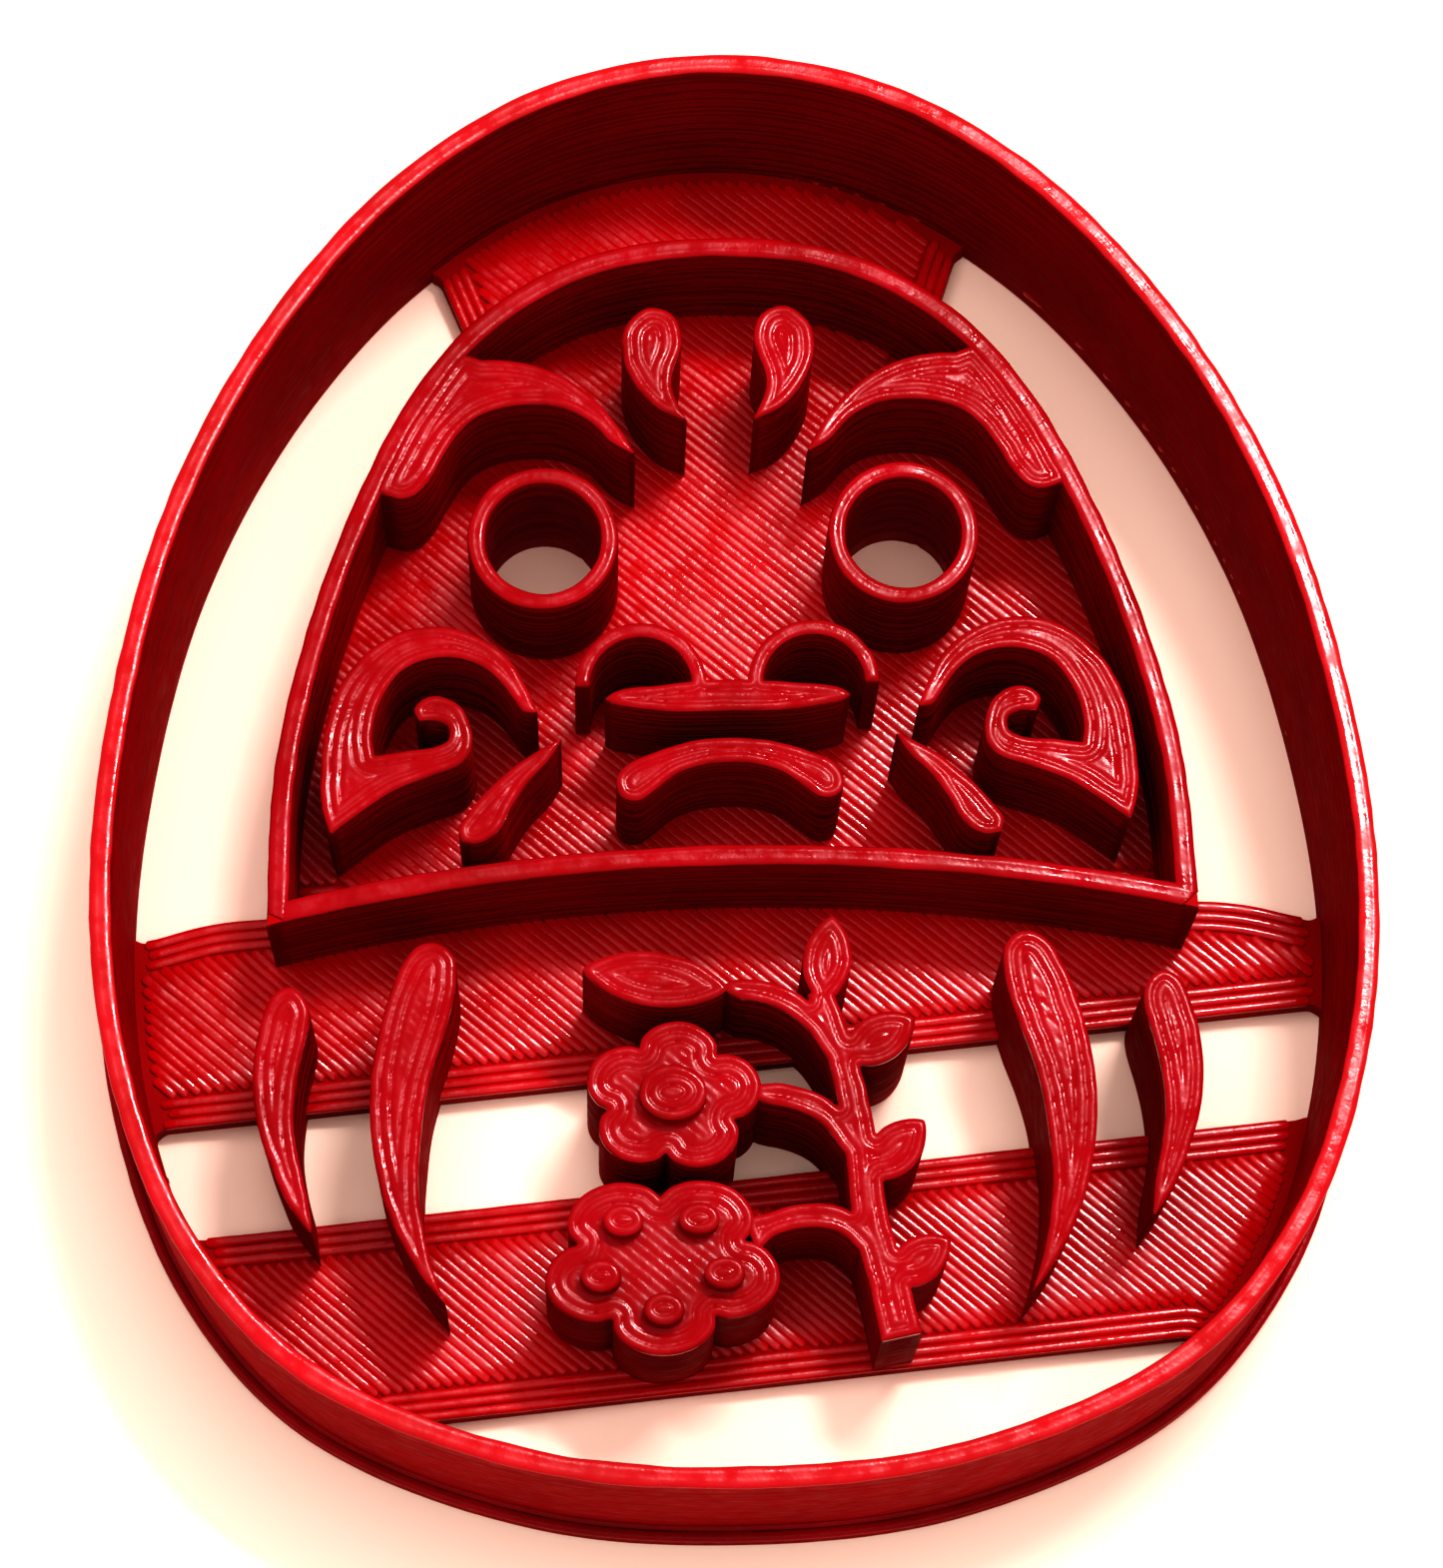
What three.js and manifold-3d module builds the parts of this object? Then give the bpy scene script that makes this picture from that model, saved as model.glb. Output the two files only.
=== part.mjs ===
// Cookie cutter with a daruma-face dough stamp inside, one 3-D print built up of separate features.
// Units are millimetres. The origin is the middle of the flat back, +Z rises to the cutting edge
// and +Y points to the top of the daruma's head.

import * as THREE from 'three';
import { mergeVertices } from 'three/addons/utils/BufferGeometryUtils.js';
import Module from 'manifold-3d';

const wasm = await Module();
wasm.setup();

// Heights above the flat back, all whole numbers of 0.2 mm layers.
const PLATE_TOP = 1.2;
const RIB_TOP = 7.6;
const ISLAND_TOP = 8.4;
const EDGE_TOP = 11.0;

// Thicknesses in plan.
const WALL = 0.85;
const FLANGE = 0.6;
const RIB = 0.85;
const GAP = 0.3;

// The seam between the face plate and its neighbours lies this far under the face rib.
const SEAM = 0.27;

// Eye rings, which are open right through the plate.
const EYE = { x: 7.15, y: 9.55, outer: 3.0, inner: 2.3 };

// The two robe bands have parallel straight edges: y = height at x 0 + BAND_SLOPE * x.
const BAND_SLOPE = 0.09;
const MIDDLE_BAND_LOW_EDGE = -10.6;
const LOWER_BAND_TOP_EDGE = -15.15;
const LOWER_BAND_LOW_EDGE = -23.35;

// Where the top bridge and the middle band leave the wall and reach the face.
const BRIDGE_WALL = { left: -11.3, right: 10.3 };
const BRIDGE_FACE = { left: -9.6, right: 8.7 };
const SHOULDER_WALL_Y = -5.0;
const SHOULDER_FACE_Y = -3.9;
const SHOULDER_RISE = 0.25;

// Spacing of the points along the outlines.
const LOOP_STEPS = 112;
const FACE_STEPS = 72;
const CURVE_STEP = 0.6;

const print = { roughness: 0.42, metalness: 0.0 };
const plateRed = new THREE.MeshStandardMaterial({ color: 0xb8000f, ...print });
const wallRed = new THREE.MeshStandardMaterial({ color: 0xc40418, ...print });
const ribRed = new THREE.MeshStandardMaterial({ color: 0xd00a20, ...print });

const mirrorPoints = (points) => points.map(([x, y]) => [-x, y]).reverse();
const shiftPoints = (points, dx) => points.map(([x, y]) => [x + dx, y]);

// A closed egg: right half from the crown to the chin, then its mirror image.
const OUTLINE_RIGHT = [
  [0, 28.8], [7.0, 27.4], [13.0, 23.5], [18.2, 17.2], [21.8, 10.0], [23.8, 2.4],
  [24.6, -5.2], [23.9, -12.2], [21.4, -19.0], [16.8, -24.3], [8.5, -27.9], [0, -28.8],
];

// Outer edge of the face, from the right-hand corner over the forehead to the middle.
const FACE_RIGHT = [
  [18.1, -6.15], [17.8, 0.0], [16.7, 5.2], [14.9, 10.5], [12.4, 15.6], [9.6, 19.0], [5.4, 21.5],
];
const FACE_CROWN = [0, 22.3];
const FACE_CHIN_RISE = 2.1;

// Raised shapes of the right half, each a list of smooth runs that meet at corners.
const DROP = [
  [[1.3, 14.4], [2.4, 14.9], [3.3, 15.9], [3.8, 17.1], [3.7, 18.5], [2.7, 19.3], [1.75, 18.9],
    [1.45, 17.8], [1.9, 16.3], [1.8, 15.5], [1.3, 14.4]],
];
const BROW = [
  [[12.2, 16.8], [10.9, 16.95], [9.0, 17.15], [7.6, 16.95], [6.1, 16.3], [4.9, 15.3], [4.0, 14.1],
    [3.4, 13.0]],
  [[3.4, 13.0], [4.3, 13.5], [5.2, 14.45], [6.3, 15.05], [7.45, 15.2], [8.6, 15.1], [9.7, 14.7],
    [10.5, 13.95], [11.1, 13.0], [11.6, 12.1], [12.2, 11.45], [12.9, 11.3], [13.5, 11.5],
    [14.3, 12.1]],
  [[14.3, 12.1], [12.2, 16.8]],
];
const MOUSTACHE = [
  [[7.45, 2.3], [7.9, 3.4], [8.6, 4.6], [9.8, 5.5], [11.3, 5.95], [12.8, 5.75], [14.1, 4.95],
    [15.1, 3.75], [15.7, 2.2], [15.95, 0.4], [15.95, -1.3], [15.6, -2.5]],
  [[15.6, -2.5], [14.6, -1.75], [13.2, -0.8], [11.7, -0.2], [10.45, 0.3], [10.05, 1.0], [10.15, 2.0],
    [10.6, 2.75], [11.4, 3.1], [12.1, 2.85], [12.35, 2.3], [12.0, 2.0], [11.4, 2.05],
    [10.95, 1.75], [11.0, 1.25], [11.6, 0.98], [12.7, 0.85], [13.85, 0.7]],
  [[13.85, 0.7], [13.95, 1.5], [13.6, 2.9], [12.8, 4.1], [11.7, 4.6], [10.5, 4.6], [9.4, 4.1],
    [8.6, 3.2], [8.0, 2.35], [7.45, 2.3]],
];
const WHISKER = [
  [[6.55, 1.25], [7.7, 0.65], [8.7, -0.1], [9.5, -0.85], [10.15, -1.6], [10.65, -2.4], [10.5, -2.9],
    [9.8, -2.95], [9.1, -2.5], [8.6, -1.6], [7.9, -0.5], [7.0, 0.45], [6.55, 1.25]],
];
const MOUTH_RIGHT = [
  [0, 1.15], [1.4, 1.05], [2.7, 0.7], [3.9, 0.2], [4.45, -0.45], [4.25, -1.2], [3.6, -1.35],
  [2.9, -0.9], [2.1, -0.3], [1.1, 0.05], [0, 0.15],
];
const OUTER_FOLD = [
  [[16.0, -18.3], [16.15, -16.9], [16.5, -15.4], [16.7, -13.9], [16.6, -12.4], [16.35, -11.1],
    [16.1, -10.0], [16.2, -9.1], [16.9, -8.55], [17.55, -8.95], [17.95, -10.0], [18.2, -11.2],
    [18.25, -12.6], [18.05, -14.1], [17.55, -15.6], [16.9, -17.1], [16.0, -18.3]],
];
const INNER_FOLD = [
  [[11.1, -21.1], [11.6, -19.6], [11.95, -18.0], [12.1, -16.4], [12.0, -14.7], [11.8, -13.1],
    [11.45, -11.7], [10.95, -10.2], [10.6, -8.6], [10.65, -7.5], [11.3, -6.9], [12.2, -7.15],
    [12.95, -8.4], [13.5, -10.1], [13.85, -11.9], [13.95, -13.6], [13.8, -15.3], [13.4, -17.1],
    [12.8, -18.6], [12.0, -20.0], [11.1, -21.1]],
];
const OUTER_FOLD_SHIFT = -0.35;
const INNER_FOLD_SHIFT = -0.2;

// Nose: a bar with a half ring over each nostril.
const NOSTRIL = { x: 3.4, y: 3.35, outer: 2.6, inner: 2.0 };
const NOSE_BAR = { halfLength: 4.85, low: 2.25, high: 3.35, end: 2.8 };

// Plum sprig over the belly: a leaf, a small blossom and a large one on stalks beside a leafy stem.
const PETALS = 5;
const SMALL_BLOSSOM = { x: -2.55, y: -13.2, rx: 3.0, ry: 2.6, notch: 0.15, turn: 1.45 };
const SMALL_HEART = { rx: 1.3, ry: 1.1 };
const BLOSSOM = { x: -3.1, y: -19.65, rx: 3.95, ry: 3.05, notch: 0.16, turn: 0.95 };
const PETAL_DOT = { rx: 0.78, ry: 0.62, reach: 0.62 };
const SPRIG_LEAF = { x: -0.3, y: -9.0, length: 5.7, width: 2.2, angle: 171 };
const STEM = {
  line: [[5.9, -22.7], [5.5, -20.7], [4.9, -18.3], [4.65, -15.7], [4.3, -13.1], [3.75, -10.9], [3.2, -9.1]],
  base: 1.6,
  tip: 1.0,
};
const STALKS = [
  { line: [[5.1, -19.3], [3.7, -18.1], [1.9, -18.0], [-0.4, -18.9]], base: 1.0, tip: 0.85 },
  { line: [[4.6, -15.6], [3.3, -13.9], [1.6, -13.2], [-0.4, -13.2]], base: 1.0, tip: 0.85 },
  { line: [[4.1, -12.0], [2.9, -10.2], [1.3, -9.2], [-1.2, -8.9]], base: 1.0, tip: 0.8 },
];
const STEM_LEAVES = [
  { x: 3.3, y: -9.7, length: 3.6, width: 1.9, angle: 82 },
  { x: 4.0, y: -11.9, length: 3.3, width: 1.9, angle: 30 },
  { x: 4.7, y: -16.6, length: 3.3, width: 1.9, angle: 44 },
  { x: 5.4, y: -20.6, length: 3.0, width: 1.8, angle: 34 },
];

// ---- plane curves ----

function smoothRun(points) {
  const knots = points.map(([x, y]) => new THREE.Vector3(x, y, 0));
  const curve = new THREE.CatmullRomCurve3(knots, false, 'centripetal');
  const steps = Math.max(1, Math.round(curve.getLength() / CURVE_STEP));
  return curve.getSpacedPoints(steps).map((p) => [p.x, p.y]);
}

function joinRuns(runs) {
  return runs.flatMap((run) => (run.length > 2 ? smoothRun(run) : run).slice(0, -1));
}

function closedCurve(points, steps) {
  const knots = points.map(([x, y]) => new THREE.Vector3(x, y, 0));
  const curve = new THREE.CatmullRomCurve3(knots, true, 'centripetal');
  return curve.getSpacedPoints(steps).slice(0, -1).map((p) => [p.x, p.y]);
}

function signedArea(points) {
  return points.reduce((sum, [x, y], i) => {
    const [nx, ny] = points[(i + 1) % points.length];
    return sum + (x * ny - nx * y) / 2;
  }, 0);
}

// Moves a closed outline sideways along its own normals: positive is outward.
function offsetLoop(points, distance) {
  const turn = Math.sign(signedArea(points));
  return points.map(([x, y], i) => {
    const [px, py] = points[(i + points.length - 1) % points.length];
    const [nx, ny] = points[(i + 1) % points.length];
    const before = new THREE.Vector2(y - py, px - x).normalize();
    const after = new THREE.Vector2(ny - y, x - nx).normalize();
    const normal = before.clone().add(after).normalize();
    const mitre = distance / Math.max(normal.dot(before), 0.5);
    return [x + turn * normal.x * mitre, y + turn * normal.y * mitre];
  });
}

function ellipseLoop(x, y, rx, ry, steps) {
  return Array.from({ length: steps }, (_, i) => {
    const angle = (2 * Math.PI * i) / steps;
    return [x + rx * Math.cos(angle), y + ry * Math.sin(angle)];
  });
}

// Round petals with a notch between each two.
function blossomLoop({ x, y, rx, ry, notch, turn }) {
  const steps = 14 * PETALS;
  return Array.from({ length: steps }, (_, i) => {
    const angle = turn + (2 * Math.PI * i) / steps;
    const arch = Math.abs(Math.cos((PETALS * (angle - turn)) / 2)) ** 0.7;
    const swell = 1 + notch * (2 * arch - 1);
    return [x + rx * swell * Math.cos(angle), y + ry * swell * Math.sin(angle)];
  });
}

function leafLoop({ x, y, length, width, angle }) {
  const steps = 18;
  const heading = THREE.MathUtils.degToRad(angle);
  return Array.from({ length: steps }, (_, i) => {
    const turn = (2 * Math.PI * i) / steps;
    const along = (length * (1 - Math.cos(turn))) / 2;
    const aside = (-width * Math.sin(turn) * Math.abs(Math.sin(turn)) ** 0.6) / 2;
    return [
      x + along * Math.cos(heading) - aside * Math.sin(heading),
      y + along * Math.sin(heading) + aside * Math.cos(heading),
    ];
  });
}

// A strip along a line, as wide as base at its start and as tip at its end.
function ribbonLoop({ line, base, tip }) {
  const middle = smoothRun(line);
  const last = middle.length - 1;
  const side = (sign) => middle.map(([x, y], i) => {
    const [ax, ay] = middle[Math.max(i - 1, 0)];
    const [bx, by] = middle[Math.min(i + 1, last)];
    const normal = new THREE.Vector2(ay - by, bx - ax).normalize();
    const half = (sign * (base + ((tip - base) * i) / last)) / 2;
    return [x + normal.x * half, y + normal.y * half];
  });
  return [...side(1), ...side(-1).reverse()];
}

// ---- shared outlines ----

const mirroredOutline = [...OUTLINE_RIGHT, ...mirrorPoints(OUTLINE_RIGHT).slice(1, -1)];
const wallOuter = closedCurve(mirroredOutline, LOOP_STEPS);
const wallInner = offsetLoop(wallOuter, -WALL);
const plateEdge = offsetLoop(wallInner, -GAP);
const flangeOuter = offsetLoop(wallOuter, FLANGE);

function facePath() {
  const knots = [...FACE_RIGHT, FACE_CROWN, ...mirrorPoints(FACE_RIGHT)];
  const curve = new THREE.CatmullRomCurve3(
    knots.map(([x, y]) => new THREE.Vector3(x, y, 0)), false, 'centripetal');
  return curve.getSpacedPoints(FACE_STEPS).map((p) => [p.x, p.y]);
}

// The chin is one wide arc between the two lower corners, from left to right.
function chinPath() {
  const [cornerX, cornerY] = FACE_RIGHT[0];
  const steps = 32;
  const radius = (cornerX ** 2 + FACE_CHIN_RISE ** 2) / (2 * FACE_CHIN_RISE);
  const spread = Math.asin(cornerX / radius);
  return Array.from({ length: steps - 1 }, (_, i) => {
    const angle = -spread + (2 * spread * (i + 1)) / steps;
    return [
      radius * Math.sin(angle),
      cornerY + FACE_CHIN_RISE - radius * (1 - Math.cos(angle)),
    ];
  });
}

const faceArch = facePath();
const chin = chinPath();
const faceOuter = [...faceArch, ...chin];
const faceRibInner = offsetLoop(faceOuter, -RIB);
const faceInterior = offsetLoop(faceOuter, -RIB - GAP);
const underRib = offsetLoop(faceOuter, -SEAM);
const insideSeam = offsetLoop(faceOuter, -SEAM - GAP);

// ---- solids ----

function toShape(points, holes = []) {
  const rim = signedArea(points) > 0 ? points : [...points].reverse();
  const shape = new THREE.Shape(rim.map(([x, y]) => new THREE.Vector2(x, y)));
  for (const hole of holes) {
    shape.holes.push(new THREE.Path(hole.map(([x, y]) => new THREE.Vector2(x, y))));
  }
  return shape;
}

function slab(points, low, high, holes = []) {
  const geometry = new THREE.ExtrudeGeometry(toShape(points, holes), {
    depth: high - low,
    bevelEnabled: false,
    steps: 1,
  });
  geometry.translate(0, 0, low);
  return geometry;
}

function toSolid(geometry) {
  const bare = geometry.clone();
  bare.deleteAttribute('normal');
  bare.deleteAttribute('uv');
  const merged = mergeVertices(bare, 1e-5);
  return new wasm.Manifold(new wasm.Mesh({
    numProp: 3,
    vertProperties: new Float32Array(merged.attributes.position.array),
    triVerts: new Uint32Array(merged.index.array),
  }));
}

function toGeometry(solid) {
  const { vertProperties, triVerts } = solid.getMesh();
  const geometry = new THREE.BufferGeometry();
  geometry.setAttribute('position', new THREE.BufferAttribute(vertProperties, 3));
  geometry.setIndex(new THREE.BufferAttribute(triVerts, 1));
  geometry.computeVertexNormals();
  return geometry;
}

const cutter = new THREE.Group();

function addPiece(name, geometry, material) {
  const piece = new THREE.Mesh(geometry, material);
  piece.name = name;
  cutter.add(piece);
}

// The open slot between the robe bands, kept a small gap clear of both bands.
function slotSolid() {
  const reach = 30;
  const low = LOWER_BAND_TOP_EDGE + GAP;
  const high = MIDDLE_BAND_LOW_EDGE - GAP;
  const rise = BAND_SLOPE * reach;
  const corners = [[-reach, low - rise], [reach, low + rise], [reach, high + rise], [-reach, high - rise]];
  return toSolid(slab(corners, 0, RIB_TOP));
}

const join = (solids) => solids.reduce((sum, next) => sum.add(next));

// A raised shape that stands on the bands and reaches down to z = 0 where it spans the slot.
function spanningSolid(outlines) {
  const upper = outlines.map((loop) => toSolid(slab(loop, PLATE_TOP, RIB_TOP)));
  const whole = outlines.map((loop) => toSolid(slab(loop, 0, RIB_TOP)));
  return join(upper).add(join(whole).intersect(slotSolid()));
}

// ---- base: flange, wall and plates ----

function addFlange() {
  addPiece('base_flange', slab(flangeOuter, 0, PLATE_TOP, [wallInner]), wallRed);
}

function addWall() {
  addPiece('cutting_wall', slab(wallOuter, PLATE_TOP, EDGE_TOP, [wallInner]), wallRed);
}

function nearestIndex(points, test) {
  const scores = points.map(test);
  return scores.indexOf(Math.min(...scores));
}

// Where the plates' outer edge crosses a line: level() is zero on the line, near() picks the crossing.
function edgeCrossing(level, near) {
  const index = plateEdge.findIndex((point, i) => {
    const next = plateEdge[(i + 1) % LOOP_STEPS];
    return near(point) && level(point) * level(next) <= 0;
  });
  const [ax, ay] = plateEdge[index];
  const [bx, by] = plateEdge[(index + 1) % LOOP_STEPS];
  const start = level([ax, ay]);
  const t = start / (start - level([bx, by]));
  return { index, point: [ax + t * (bx - ax), ay + t * (by - ay)] };
}

// Points of the plates' outer edge between two crossings, going the way the list runs.
function edgeRun(from, to) {
  const count = (to.index - from.index + LOOP_STEPS) % LOOP_STEPS;
  const between = Array.from({ length: count }, (_, i) => plateEdge[(from.index + 1 + i) % LOOP_STEPS]);
  return [from.point, ...between, to.point];
}

const sideCrossing = (side, height) => edgeCrossing(([x, y]) => y - height(x), ([x]) => x * side > 0);
const crownCrossing = (across) => edgeCrossing(([x]) => x - across, ([, y]) => y > 0);
const middleLow = (x) => MIDDLE_BAND_LOW_EDGE + BAND_SLOPE * x;
const lowerTop = (x) => LOWER_BAND_TOP_EDGE + BAND_SLOPE * x;
const lowerLow = (x) => LOWER_BAND_LOW_EDGE + BAND_SLOPE * x;

// The arch of the face leaves its lower corner, passes the shoulder, then the bridge, to the crown.
const shoulderIndex = nearestIndex(faceArch, ([x, y]) => Math.abs(y - SHOULDER_FACE_Y) + (x > 0 ? 0 : 100));
const archIndex = (across) => nearestIndex(faceArch, ([x, y]) => Math.abs(x - across) + (y > 0 ? 0 : 100));
const bridgeRight = archIndex(BRIDGE_FACE.right);
const bridgeLeft = archIndex(BRIDGE_FACE.left);

function addTopBridge() {
  const roof = edgeRun(crownCrossing(BRIDGE_WALL.left), crownCrossing(BRIDGE_WALL.right));
  const forehead = underRib.slice(bridgeRight, bridgeLeft + 1);
  addPiece('top_bridge', slab([...roof, ...forehead], 0, PLATE_TOP), plateRed);
}

// Along the bridge, the shoulders and the chin the face plate stops inside the seam.
function addFacePlate() {
  const outline = faceOuter.map((point, i) => {
    const fromCorner = i > FACE_STEPS ? 0 : Math.min(i, FACE_STEPS - i);
    const underBridge = i >= bridgeRight - 1 && i <= bridgeLeft + 1;
    return underBridge || fromCorner <= shoulderIndex + 1 ? insideSeam[i] : point;
  });
  const eyes = [-1, 1].map((side) => ellipseLoop(side * EYE.x, EYE.y, EYE.inner, EYE.inner, 40));
  addPiece('face_plate', slab(outline, 0, PLATE_TOP, eyes), plateRed);
}

// The middle band carries the face's lower corners and rises in a low arc to the wall beside them.
function addMiddleBand() {
  const rightTop = sideCrossing(1, () => SHOULDER_WALL_Y);
  const leftTop = sideCrossing(-1, () => SHOULDER_WALL_Y);
  const faceRight = underRib[shoulderIndex];
  const faceLeft = underRib[FACE_STEPS - shoulderIndex];
  const shoulder = ([ax, ay], [bx, by]) => {
    const middle = [(ax + bx) / 2, (ay + by) / 2 + SHOULDER_RISE];
    return smoothRun([[ax, ay], middle, [bx, by]]).slice(1, -1);
  };
  const outline = [
    ...shoulder(faceRight, rightTop.point),
    ...edgeRun(rightTop, sideCrossing(1, middleLow)),
    ...edgeRun(sideCrossing(-1, middleLow), leftTop),
    ...shoulder(leftTop.point, faceLeft),
    ...underRib.slice(FACE_STEPS - shoulderIndex),
    ...underRib.slice(0, shoulderIndex + 1),
  ];
  addPiece('middle_band', slab(outline, 0, PLATE_TOP), plateRed);
}

function addLowerBand() {
  const outline = [
    ...edgeRun(sideCrossing(1, lowerTop), sideCrossing(1, lowerLow)),
    ...edgeRun(sideCrossing(-1, lowerLow), sideCrossing(-1, lowerTop)),
  ];
  addPiece('lower_band', slab(outline, 0, PLATE_TOP), plateRed);
}

// ---- raised ribs of the face ----

function addFaceRib() {
  addPiece('face_outline_rib', slab(faceOuter, PLATE_TOP, RIB_TOP, [faceRibInner]), ribRed);
}

function addEyeRings() {
  for (const [name, side] of [['eye_ring_left', -1], ['eye_ring_right', 1]]) {
    const outer = ellipseLoop(side * EYE.x, EYE.y, EYE.outer, EYE.outer, 40);
    const inner = ellipseLoop(side * EYE.x, EYE.y, EYE.inner, EYE.inner, 40);
    addPiece(name, slab(outer, PLATE_TOP, RIB_TOP, [inner]), ribRed);
  }
}

function addPair(name, runs) {
  const right = joinRuns(runs);
  addPiece(`${name}_left`, slab(mirrorPoints(right), PLATE_TOP, RIB_TOP), ribRed);
  addPiece(`${name}_right`, slab(right, PLATE_TOP, RIB_TOP), ribRed);
}

// Each brow runs up to the face rib and stops a small gap short of it.
function addBrows() {
  const interior = toSolid(slab(faceInterior, PLATE_TOP, RIB_TOP));
  const right = joinRuns(BROW);
  for (const [name, loop] of [['brow_left', mirrorPoints(right)], ['brow_right', right]]) {
    const brow = toSolid(slab(loop, PLATE_TOP, RIB_TOP)).intersect(interior);
    addPiece(name, toGeometry(brow), ribRed);
  }
}

function halfRing({ x, y, outer, inner }, side) {
  const steps = 18;
  const arc = (radius) => Array.from({ length: steps + 1 }, (_, i) => {
    const angle = (Math.PI * i) / steps;
    return [side * x + radius * Math.cos(angle), y + radius * Math.sin(angle)];
  });
  return [...arc(outer), ...arc(inner).reverse()];
}

function addNose() {
  const { halfLength, low, high, end } = NOSE_BAR;
  const half = [[0, low], [halfLength * 0.55, low + 0.05], [halfLength, end], [halfLength * 0.9, high - 0.2],
    [halfLength * 0.6, high], [0, high + 0.2]];
  const bar = closedCurve([...half, ...mirrorPoints(half).slice(1, -1)], 48);
  const solids = [bar, halfRing(NOSTRIL, -1), halfRing(NOSTRIL, 1)];
  const nose = solids.map((loop) => toSolid(slab(loop, PLATE_TOP, RIB_TOP)));
  addPiece('nose_rib', toGeometry(join(nose)), ribRed);
}

function addMouth() {
  const loop = closedCurve([...MOUTH_RIGHT, ...mirrorPoints(MOUTH_RIGHT).slice(1, -1)], 48);
  addPiece('mouth_rib', slab(loop, PLATE_TOP, RIB_TOP), ribRed);
}

// ---- robe folds and plum sprig ----

function addFold(name, runs, side, dx) {
  const right = joinRuns(runs);
  const loop = shiftPoints(side > 0 ? right : mirrorPoints(right), dx);
  addPiece(name, toGeometry(spanningSolid([loop])), ribRed);
}

// The stalks run up to the leaf and the blossoms and stop a small gap short of them.
function addSprig() {
  const leaf = leafLoop(SPRIG_LEAF);
  const small = blossomLoop(SMALL_BLOSSOM);
  const large = blossomLoop(BLOSSOM);
  addPiece('sprig_leaf', slab(leaf, PLATE_TOP, RIB_TOP), ribRed);
  addPiece('sprig_small_blossom', toGeometry(spanningSolid([small])), ribRed);
  const heart = ellipseLoop(SMALL_BLOSSOM.x, SMALL_BLOSSOM.y, SMALL_HEART.rx, SMALL_HEART.ry, 24);
  addPiece('sprig_small_heart', slab(heart, RIB_TOP, ISLAND_TOP), ribRed);
  addPiece('sprig_blossom', slab(large, PLATE_TOP, RIB_TOP), ribRed);
  for (let i = 0; i < PETALS; i += 1) {
    const angle = BLOSSOM.turn + (2 * Math.PI * i) / PETALS;
    const x = BLOSSOM.x + PETAL_DOT.reach * BLOSSOM.rx * Math.cos(angle);
    const y = BLOSSOM.y + PETAL_DOT.reach * BLOSSOM.ry * Math.sin(angle);
    const dot = ellipseLoop(x, y, PETAL_DOT.rx, PETAL_DOT.ry, 20);
    addPiece(`sprig_petal_${i + 1}`, slab(dot, RIB_TOP, ISLAND_TOP), ribRed);
  }
  const strips = [STEM, ...STALKS].map(ribbonLoop);
  const whole = spanningSolid([...strips, ...STEM_LEAVES.map(leafLoop)]);
  const clear = [leaf, small, large].map((loop) => toSolid(slab(offsetLoop(loop, GAP), -1, EDGE_TOP)));
  addPiece('sprig_twig', toGeometry(whole.subtract(join(clear))), ribRed);
}

addFlange();
addWall();
addTopBridge();
addFacePlate();
addMiddleBand();
addLowerBand();
addFaceRib();
addPair('forehead_drop', DROP);
addBrows();
addEyeRings();
addNose();
addMouth();
addPair('moustache', MOUSTACHE);
addPair('whisker', WHISKER);
addFold('robe_fold_outer_left', OUTER_FOLD, -1, OUTER_FOLD_SHIFT);
addFold('robe_fold_inner_left', INNER_FOLD, -1, INNER_FOLD_SHIFT);
addFold('robe_fold_inner_right', INNER_FOLD, 1, INNER_FOLD_SHIFT);
addFold('robe_fold_outer_right', OUTER_FOLD, 1, OUTER_FOLD_SHIFT);
addSprig();

export default cutter;
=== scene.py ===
"""Looks for the daruma cookie cutter: every CAD node becomes a printed piece made of filament lines.

Lengths are millimetres in the CAD frame, and become metres where an object is made.
"""

import math

import bpy
import numpy as np
from mathutils import Euler, Matrix, Vector
from mathutils.geometry import delaunay_2d_cdt


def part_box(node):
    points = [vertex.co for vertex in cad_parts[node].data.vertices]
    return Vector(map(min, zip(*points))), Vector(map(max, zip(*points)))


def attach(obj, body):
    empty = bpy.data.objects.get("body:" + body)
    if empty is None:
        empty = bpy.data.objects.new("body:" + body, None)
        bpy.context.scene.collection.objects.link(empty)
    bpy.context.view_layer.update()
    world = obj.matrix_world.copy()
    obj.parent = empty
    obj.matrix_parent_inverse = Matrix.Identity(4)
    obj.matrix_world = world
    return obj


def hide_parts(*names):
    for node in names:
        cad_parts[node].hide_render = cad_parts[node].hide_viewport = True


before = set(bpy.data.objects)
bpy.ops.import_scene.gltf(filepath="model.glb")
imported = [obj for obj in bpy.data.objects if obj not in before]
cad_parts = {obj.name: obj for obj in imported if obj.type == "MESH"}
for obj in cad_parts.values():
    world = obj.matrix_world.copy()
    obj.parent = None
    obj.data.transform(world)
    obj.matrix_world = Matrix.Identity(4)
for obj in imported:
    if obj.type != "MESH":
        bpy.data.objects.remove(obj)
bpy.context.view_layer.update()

MM = 0.001

# Print settings.
LAYER = 0.2
LINE = 0.407
RASTER = 0.357
RASTER_ANGLE = math.radians(-41)
EDGE_LINES = 3

# How far the side of a line lies below its crest: outline lines, diagonal lines, a rib's rim.
SAG = 0.10
PLATE_SAG = 0.055
CREST = 0.13

# Lines that follow a rib's outline before its straight fill begins.
RIM_LINES = 2.6

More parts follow.
